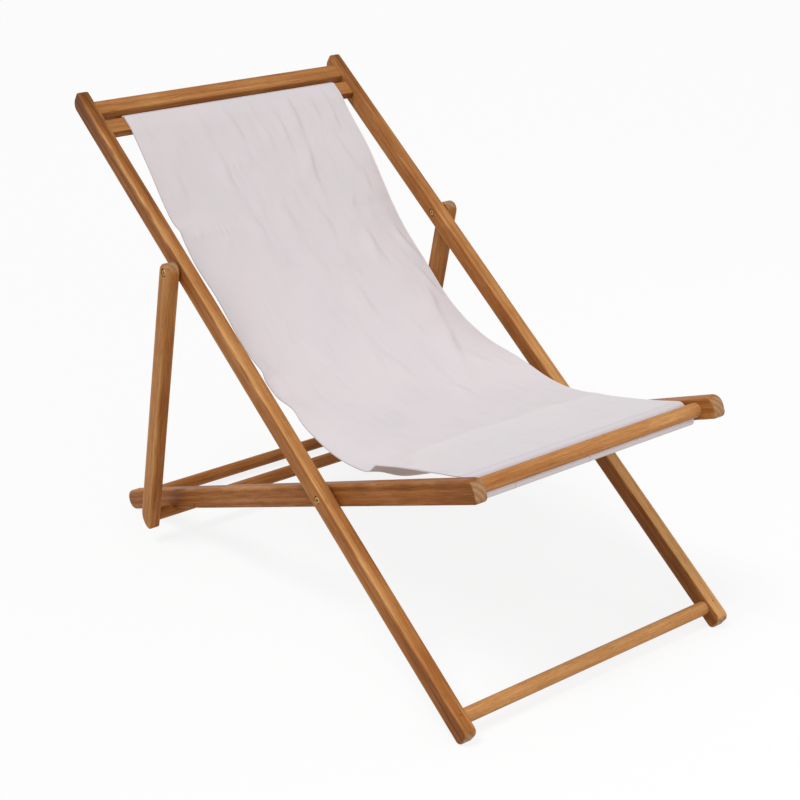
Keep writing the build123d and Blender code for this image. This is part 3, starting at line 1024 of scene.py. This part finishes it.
@dataclass
class Sling:
    """The canvas seat: one strip, sewn round a rod at both ends, over a slat and a dowel.

    Lengths are in metres, and places on a rail are along it and across it. The ripple and the
    fades of the lift are in millimetres.
    """

    side: Side
    canvas: Canvas
    thread: Thread
    width: float = 0.422
    thickness: float = 0.0012
    shift: float = 0.0035
    crumple: Crumple = Crumple()
    columns: int = 145
    crowding: float = 0.2
    free_rows: int = 224
    curve_points: int = 2001
    hem_radius: float = 0.00685
    hem_points: int = 27
    head_hem: Pair = (0.75485, -0.00842)
    front_hem: Pair = (-0.29144, -0.01501)
    head_line: float = 0.7511
    front_line: float = -0.2871
    flap_gap: float = 0.0016
    flap_length: float = 0.011
    flap_points: int = 7
    neck_points: int = 6
    slat_corner: float = 0.0041
    slat_upper: Pair = (0.747, 0.0075)
    slat_lower: Pair = (0.723, 0.0075)
    corner_points: int = 7
    face_points: int = 7
    slat_bow: float = 0.090
    bow_rise: float = 0.0087
    bow_points: int = 9
    slat_start: float = -0.0249
    dowel: Pair = (-0.275, 0.002)
    dowel_wrap: float = 0.0121
    nose_points: int = 12
    fall_points: int = 8
    head_turn: float = math.radians(13.3)
    front_turn: float = math.radians(4.4)
    head_pull: float = 0.4717
    front_pull: float = 0.4045
    ripple: float = 0.9
    ripple_lengths: tuple[Pair, Pair] = ((31.0, 67.0), (-120.0, 83.0))
    wave_start: float = 8.0
    wave_fade: float = 45.0
    head_fade: float = 12.0
    front_fade: float = 45.0
    flat_length: float = 1.146
    blend_start: Triple = (0.0, 0.455, 0.30)
    blend_end: Triple = (0.0, -0.38, 0.30)
    tack_places: tuple[float, ...] = (-0.135, 0.0035)
    tack_turn: Pair = (math.radians(118.0), math.radians(262.0))
    tack_radius: float = 0.00042
    tack_waist: float = 0.05
    tack_sides: int = 8
    stitches: int = 6
    stitch_points: int = 12
    rows_before: int = field(default=0, init=False)
    rows_after: int = field(default=0, init=False)

    def arc(self, centre: Pair, radius: float, first: float, last: float, count: int) -> Array:
        """Points of a circle in a rail's own coordinates, from one angle to another.

        Args:
            centre: Its centre along and across the rail.
            radius: Its radius.
            first: First angle, from the way along the rail.
            last: Last angle.
            count: Number of points.

        Returns:
            Points along and across the rail.
        """
        turn = np.linspace(first, last, count)
        return np.stack([np.cos(turn), np.sin(turn)], -1) * radius + np.array(centre)

    def run(self, line: float, first: float, last: float, count: int) -> Array:
        """Points of a straight run across a rail, without its first and last point.

        Args:
            line: Its place along the rail.
            first: Where it starts, across the rail.
            last: Where it ends.
            count: Number of points with both ends.

        Returns:
            Points along and across the rail.
        """
        level = np.linspace(first, last, count)[1:-1]
        return np.stack([np.full_like(level, line), level], -1)

    def hem(self, centre: Pair, line: float, flap_side: float) -> Array:
        """Path of one hem, from the flap's end, round the rod and to the line that leaves it.

        The strip turns almost a full circle about the rod; flap and strip then run side by side.

        Args:
            centre: Rod centre along and across the rail.
            line: Where the strip runs, along the rail.
            flap_side: Where the flap runs, as +1 or -1 from the strip along the rail.

        Returns:
            Points along and across the rail.
        """
        flap = line + flap_side * self.flap_gap
        flap_angle = math.acos((flap - centre[0]) / self.hem_radius)
        line_angle = math.acos((line - centre[0]) / self.hem_radius)
        last = line_angle - flap_side * math.tau
        ring = self.arc(centre, self.hem_radius, flap_angle, last, self.hem_points)
        top = np.linspace(ring[0, 1] + self.flap_length, ring[0, 1], self.flap_points)[:-1]
        return np.concatenate([np.stack([np.full_like(top, flap), top], -1), ring])

    def path(self) -> Array:
        """Middle line of the strip, as (y, z) in metres, hem to hem.

        Straight runs and arcs follow the slat and the dowel; the free part is one cubic curve
        that leaves the head slat and meets the dowel along their own tangents.

        Returns:
            Points along the strip.
        """
        quarter = math.pi / 2
        corner = self.slat_corner
        head = self.hem(self.head_hem, self.head_line, 1.0)
        over = self.arc(self.slat_upper, corner, 0.0, quarter, self.corner_points)
        bow = (self.slat_lower[0] + self.bow_rise, self.slat_lower[1] + corner - self.slat_bow)
        leaving = quarter + self.head_turn
        under = self.arc(bow, self.slat_bow, quarter, leaving, self.bow_points)
        neck = self.run(self.head_line, head[-1, 1], over[0, 1], self.neck_points)
        face = np.linspace(over[-1], under[0], self.face_points)[1:-1]
        back = np.concatenate([head, neck, over, face, under])
        self.rows_before = len(head) + len(neck) + len(over) - 1
        self.rows_after = len(back) + self.free_rows - 1
        start = self.side.back(*under[-1])
        meeting = quarter + self.front_turn
        nose = self.arc(self.dowel, self.dowel_wrap, meeting, math.pi, self.nose_points)
        front = self.hem(self.front_hem, self.front_line, -1.0)[::-1]
        fall = self.run(self.front_line, nose[-1, 1], front[0, 1], self.fall_points)
        seat = np.concatenate([nose, fall, front])
        end = self.side.seat(*nose[0])
        leave = self.side.back_tilt + self.head_turn
        meet = self.side.seat_tilt - self.front_turn
        first = start - self.head_pull * np.array([math.cos(leave), math.sin(leave)])
        second = end + self.front_pull * np.array([math.cos(meet), -math.sin(meet)])
        free = self.cubic(start, first, second, end)
        return np.concatenate([self.side.back(*back.T), free[1:-1], self.side.seat(*seat.T)])

    def cubic(self, start: Array, first: Array, second: Array, end: Array) -> Array:
        """A cubic curve through its ends, drawn to two handles and spaced evenly.

        Args:
            start: First point.
            first: Handle of the first point.
            second: Handle of the last point.
            end: Last point.

        Returns:
            Points at equal steps of the curve's length.
        """
        share = np.linspace(0.0, 1.0, self.curve_points)[:, None]
        rest = 1.0 - share
        curve = rest**3 * start + 3 * rest**2 * share * first
        curve = curve + 3 * rest * share**2 * second + share**3 * end
        length = self.measure(curve)
        even = np.linspace(0.0, length[-1], self.free_rows)
        return np.stack([np.interp(even, length, curve[:, part]) for part in (0, 1)], -1)

    @staticmethod
    def measure(line: Array) -> Array:
        """Length along a line of points, at each of them."""
        return np.r_[0.0, np.cumsum(np.linalg.norm(np.diff(line, axis=0), axis=1))]

    def lift(self, across: Array, along: Array) -> Array:
        """Height of the cloth over its middle curve, in millimetres.

        It is the sum of the edge waves, the folds with the small wrinkles, and the creases. Slow
        sines keep the rest from lying dead flat, and all fades out towards both ends.

        Args:
            across: Place across the cloth from its middle, in millimetres.
            along: Place along the free part from the head slat, in millimetres.

        Returns:
            Heights, one for each point of the grid.
        """
        half = self.width / 2 * MM
        height = np.zeros(np.broadcast(across, along).shape)
        for waves, inside in ((NEAR_WAVES, half + across), (FAR_WAVES, half - across)):
            height += sum(wave.lift(inside, along) for wave in waves)
        ripples = [np.sin(across / wide + along / long) for wide, long in self.ripple_lengths]
        height += self.ripple * ripples[0] * ripples[1]
        height *= smooth((along - self.wave_start) / self.wave_fade)
        height += sum(fold.lift(across, along) for fold in (*FOLDS, *self.crumple.folds()))
        height += sum(crease.lift(across, along) for crease in CREASES)
        height *= smooth((along - along.min()) / self.head_fade)
        return height * smooth((along.max() - along) / self.front_fade)

    def surface(self) -> tuple[Array, Array, Array]:
        """Points, normals and cloth coordinates on a grid of rows along and columns across.

        A point is the middle line at its row, moved along the line's normal by the lift and along
        X by its column. The columns crowd towards the edges by a cubic.

        Returns:
            Points and unit normals as (rows, columns, 3), and (across, along) in metres.
        """
        line = self.path()
        length = self.measure(line)
        tangent = np.gradient(line, axis=0)
        tangent /= np.linalg.norm(tangent, axis=1)[:, None]
        normal = np.stack([tangent[:, 1], -tangent[:, 0]], -1)
        even = np.linspace(-1.0, 1.0, self.columns)
        across = self.width / 2 * ((1.0 + self.crowding) * even - self.crowding * even**3)
        lift = np.zeros((len(line), self.columns))
        free = slice(self.rows_before, self.rows_after)
        along = (length[free] - length[free][0] + self.slat_start)[:, None] * MM
        lift[free] = self.lift(across[None, :] * MM, along) / MM
        rows = line[:, None, :] + normal[:, None, :] * lift[..., None]
        x = np.broadcast_to((across + self.shift)[None, :], lift.shape)
        points = np.stack([x, rows[..., 0], rows[..., 1]], -1)
        facing = np.cross(np.gradient(points, axis=1), np.gradient(points, axis=0))
        facing /= np.linalg.norm(facing, axis=2)[..., None]
        cloth = np.stack(np.broadcast_arrays(across[None, :], length[:, None]), -1)
        return points, facing, cloth

    def build(self) -> bpy.types.Object:
        """Make the cloth: two faces half a thickness either side of the grid, joined at the rim.

        Returns:
            The cloth.
        """
        points, facing, cloth = self.surface()
        rows, columns = points.shape[:2]
        half = facing * self.thickness / 2
        count = rows * columns
        top = grid_quads(rows, columns)
        shell = np.concatenate([(points + half).reshape(-1, 3), (points - half).reshape(-1, 3)])
        number = np.arange(count).reshape(rows, columns)
        rim = np.concatenate([number[0], number[1:, -1], number[-1, -2::-1], number[-2:0:-1, 0]])
        following = np.roll(rim, -1)
        wall = np.stack([rim, rim + count, following + count, following], -1)
        faces = np.concatenate([top, top[:, ::-1] + count, wall[:, ::-1]])
        piece = mesh_object("sling_cloth", shell, faces, self.canvas.material())
        layer = piece.data.uv_layers.new(name="cloth")
        corner = np.zeros(len(piece.data.loops), np.int32)
        piece.data.loops.foreach_get("vertex_index", corner)
        spread = cloth.reshape(-1, 2)[corner % count]
        layer.data.foreach_set("uv", spread.astype(np.float32).ravel())
        self.outward(piece)
        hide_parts("sling")
        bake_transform(piece)
        LOG.info("sling: %d faces", len(faces))
        return piece

    def build_tacks(self) -> bpy.types.Object:
        """Make the two rows of tacking stitches across the front hem.

        Each row is a thin tube along an arc of the hem; its radius swells and dips once a stitch.

        Returns:
            The stitches, riding on the seat frame.
        """
        turn = np.linspace(*self.tack_turn, self.stitch_points * self.stitches + 1)
        swell = np.abs(np.sin(np.linspace(0.0, self.stitches * math.pi, len(turn))))
        thread = self.tack_radius * (self.tack_waist + swell)[:, None]
        around = np.linspace(0.0, math.tau, self.tack_sides + 1)[None, :-1]
        reach = self.hem_radius + self.thickness / 2 + thread * np.cos(around)
        along = self.front_hem[0] + reach * np.cos(turn)[:, None]
        level = self.front_hem[1] + reach * np.sin(turn)[:, None]
        spot = self.side.seat(along, level)
        places = np.array(self.tack_places)[:, None, None]
        across = places + (thread * np.sin(around))[None]
        points = np.stack(np.broadcast_arrays(across, spot[None, ..., 0], spot[None, ..., 1]), -1)
        quads = grid_quads(len(turn), self.tack_sides, closed=True)
        count = points.shape[1] * points.shape[2]
        faces = (quads[None] + count * np.arange(len(places))[:, None, None]).reshape(-1, 4)
        piece = mesh_object("hem_tacks", points.reshape(-1, 3), faces, self.thread.material())
        self.outward(piece)
        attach(piece, "seat_frame")
        LOG.info("hem tacks: %d faces", len(faces))
        return piece

    @staticmethod
    def outward(piece: bpy.types.Object) -> None:
        """Turn a shell's faces outwards where its volume, as they point, is negative.

        Args:
            piece: The closed shell.
        """
        mesh = piece.data
        mesh.calc_loop_triangles()
        corners = np.zeros(len(mesh.loop_triangles) * 3, np.int32)
        mesh.loop_triangles.foreach_get("vertices", corners)
        spots = np.zeros(len(mesh.vertices) * 3, np.float32)
        mesh.vertices.foreach_get("co", spots)
        a, b, c = spots.reshape(-1, 3)[corners].reshape(-1, 3, 3).transpose(1, 0, 2)
        if np.einsum("ij,ij->i", a, np.cross(b, c)).sum() < 0:
            mesh.flip_normals()


@dataclass(frozen=True)
class Lamp:
    """A soft lamp: where it shines from, its level at the chair, and its width.

    A distant lamp shines evenly and its width is an angle; a near one falls off and its width is
    a length in metres.
    """

    name: str
    place: Triple
    level: float
    width: float
    near: bool = False


@dataclass
class Studio:
    """Pale floor, soft lamps, white surroundings and the camera."""

    lamps: tuple[Lamp, ...]
    floor_size: float = 60.0
    floor_level: float = -0.0002
    floor_seen: Colour = (0.93, 0.93, 0.93)
    floor_bounce: Colour = (0.66, 0.62, 0.58)
    floor_glow: float = 0.84
    world_strength: float = 0.42
    azimuth: float = math.radians(-38.0565)
    elevation: float = math.radians(22.2722)
    roll: float = math.radians(-0.3477)
    distance: float = 2.65718
    target: Triple = (0.0, -0.02251, 0.29394)
    lens: float = 75.30
    sensor: float = 36.0
    clip: Pair = (0.05, 60.0)

    def build(self) -> None:
        """Set up everything round the chair."""
        self.floor()
        self.world()
        self.light()
        self.camera()
        bpy.context.scene.view_settings.view_transform = "Standard"
        LOG.info("studio: %d lamps", len(self.lamps))

    def white_rays(self, shader: Shader) -> Value:
        """Tell rays from the camera, from gloss and through glass from the rest.

        Args:
            shader: The tree that asks.

        Returns:
            One for those rays, else nought.
        """
        path = shader.node("ShaderNodeLightPath")
        glossy = path.output("Is Glossy Ray")
        through = path.output("Is Transmission Ray")
        return path.output("Is Camera Ray").largest(glossy).largest(through)

    def floor(self) -> None:
        """Make the floor: a pale matt plane that also glows white to the eye and keeps shadows."""
        shader = Shader.material("floor")
        bounce = shader.node("ShaderNodeBsdfDiffuse", {}, {"Color": self.floor_bounce})
        matt = shader.node("ShaderNodeBsdfDiffuse", {}, {"Color": self.floor_seen})
        glow = shader.node("ShaderNodeEmission", {}, {"Color": WHITE, "Strength": 1.0})
        bright = shader.blend(self.floor_glow, matt, glow)
        mixed = shader.blend(self.white_rays(shader), bounce, bright)
        shader.add("ShaderNodeOutputMaterial", {}, {"Surface": mixed})
        half = self.floor_size / 2
        corner = np.array([-half, half])
        across, along = np.meshgrid(corner, corner)
        level = np.full_like(across, self.floor_level)
        points = np.stack([across, along, level], -1).reshape(-1, 3)
        mesh_object("floor", points, grid_quads(2, 2), shader.owner)

    def world(self) -> None:
        """Make the surroundings: white to the eye, plain soft light on the chair."""
        world = bpy.data.worlds.new("studio")
        bpy.context.scene.world = world
        shader = Shader(world)
        lit = {"Color": WHITE, "Strength": self.world_strength}
        soft = shader.node("ShaderNodeBackground", {}, lit)
        white = shader.node("ShaderNodeBackground", {}, {"Color": WHITE, "Strength": 1.0})
        sky = shader.blend(self.white_rays(shader), soft, white)
        shader.add("ShaderNodeOutputWorld", {}, {"Surface": sky})

    def light(self) -> None:
        """Hang the lamps; a level of 1 shows a surface that faces the lamp at its own colour."""
        for lamp in self.lamps:
            data = bpy.data.lights.new(lamp.name, "AREA" if lamp.near else "SUN")
            way = Vector(self.target) - Vector(lamp.place) if lamp.near else -Vector(lamp.place)
            if lamp.near:
                data.energy, data.size = lamp.level * math.pi**2 * way.length_squared, lamp.width
            else:
                data.energy, data.angle = lamp.level * math.pi, lamp.width
            holder = bpy.data.objects.new(lamp.name, data)
            turn = way.to_track_quat("-Z", "Y")
            holder.matrix_world = Matrix.Translation(lamp.place) @ turn.to_matrix().to_4x4()
            bpy.context.scene.collection.objects.link(holder)

    def camera(self) -> None:
        """Stand the camera at the photograph's angle."""
        data = bpy.data.cameras.new("camera")
        data.lens, data.sensor_width = self.lens, self.sensor
        data.clip_start, data.clip_end = self.clip
        holder = bpy.data.objects.new("camera", data)
        sin, cos = math.sin(self.azimuth), math.cos(self.azimuth)
        flat = math.cos(self.elevation)
        back = Vector((sin * flat, -cos * flat, math.sin(self.elevation)))
        right = Vector((cos, sin, 0.0))
        up = back.cross(right)
        cos, sin = math.cos(self.roll), math.sin(self.roll)
        turned = Matrix((cos * right + sin * up, cos * up - sin * right, back)).transposed()
        place = Vector(self.target) + self.distance * back
        holder.matrix_world = Matrix.Translation(place) @ turned.to_4x4()
        bpy.context.scene.collection.objects.link(holder)
        bpy.context.scene.camera = holder


def chair_frames(wood: OiledWood) -> list[WoodFrame]:
    """The three wooden frames of the chair.

    Args:
        wood: The wood they share.

    Returns:
        Back, seat and prop frame.
    """
    back, seat, prop, across = Grain.BACK_RAIL, Grain.SEAT_RAIL, Grain.PROP_STRUT, Grain.ACROSS
    back_pieces = [
        WoodPiece("back_rail_right", back, 0.11, -0.07, 0.32, -0.12, wear_and_highlight=0.78, painted_sheen=-0.30),
        WoodPiece("back_rail_left", back, 0.15, -0.37, 0.02, -0.31, wear_and_highlight=0.60, side_shading_drift=0.50),
        WoodPiece("top_board", across, 0.01),
        WoodPiece("head_slat", across, 0.06, side_shading=-0.35, wear_and_highlight=0.25),
        WoodPiece("foot_dowel", across, 0.26, wear_and_highlight=0.0),
        WoodPiece("head_rod", across, 0.12, wear_and_highlight=0.0),
    ]
    seat_pieces = [
        WoodPiece("seat_rail_right", seat, -0.12, drift=0.05),
        WoodPiece("seat_rail_left", seat, -0.06),
        WoodPiece("front_dowel", across, 0.16, wear_and_highlight=0.0),
        WoodPiece("sling_dowel", across, 0.05, wear_and_highlight=0.0),
        WoodPiece("rear_dowel", across, 0.0, wear_and_highlight=0.0),
        WoodPiece("front_rod", across, 0.12, wear_and_highlight=0.0),
    ]
    prop_pieces = [
        WoodPiece("prop_strut_right", prop, 0.02, drift=-0.05, side_shading=0.12),
        WoodPiece("prop_strut_left", prop, 0.0),
        WoodPiece("prop_dowel", across, -0.02, wear_and_highlight=0.0),
    ]
    return [
        WoodFrame("back frame", wood, back_pieces),
        WoodFrame("seat frame", wood, seat_pieces),
        WoodFrame("prop frame", wood, prop_pieces),
    ]


def main() -> None:
    """Dress the frames and hardware, hang the sling and set up the studio."""
    logging.basicConfig(level=logging.INFO, format="%(name)s %(message)s")
    for wooden in chair_frames(OiledWood()):
        wooden.dress()
    Hardware(
        bolt_brass=Metal("bolt_brass", (0.56, 0.40, 0.19), (0.30, 0.19, 0.08), 0.30),
        brad_brass=Metal("brad_brass", (0.075, 0.042, 0.028), (0.040, 0.024, 0.016), 0.55),
        nylon=Nylon(),
    ).dress()
    pivot = next(joint["pos_m"] for joint in frame["joints"] if joint["name"] == "seat_fold")
    sling = Sling(Side((pivot[1], pivot[2])), Canvas(), Thread())
    sling.build()
    sling.build_tacks()
    Studio(
        lamps=(
            Lamp("key", (-1.45, 0.1, 2.85), 0.47, math.radians(24.0)),
            Lamp("front", (-0.75, -2.3, 1.45), 0.20, 1.4, near=True),
            Lamp("side", (1.5, -1.9, 1.1), 0.13, 1.4, near=True),
        )
    ).build()


if __name__ == "__main__":
    main()
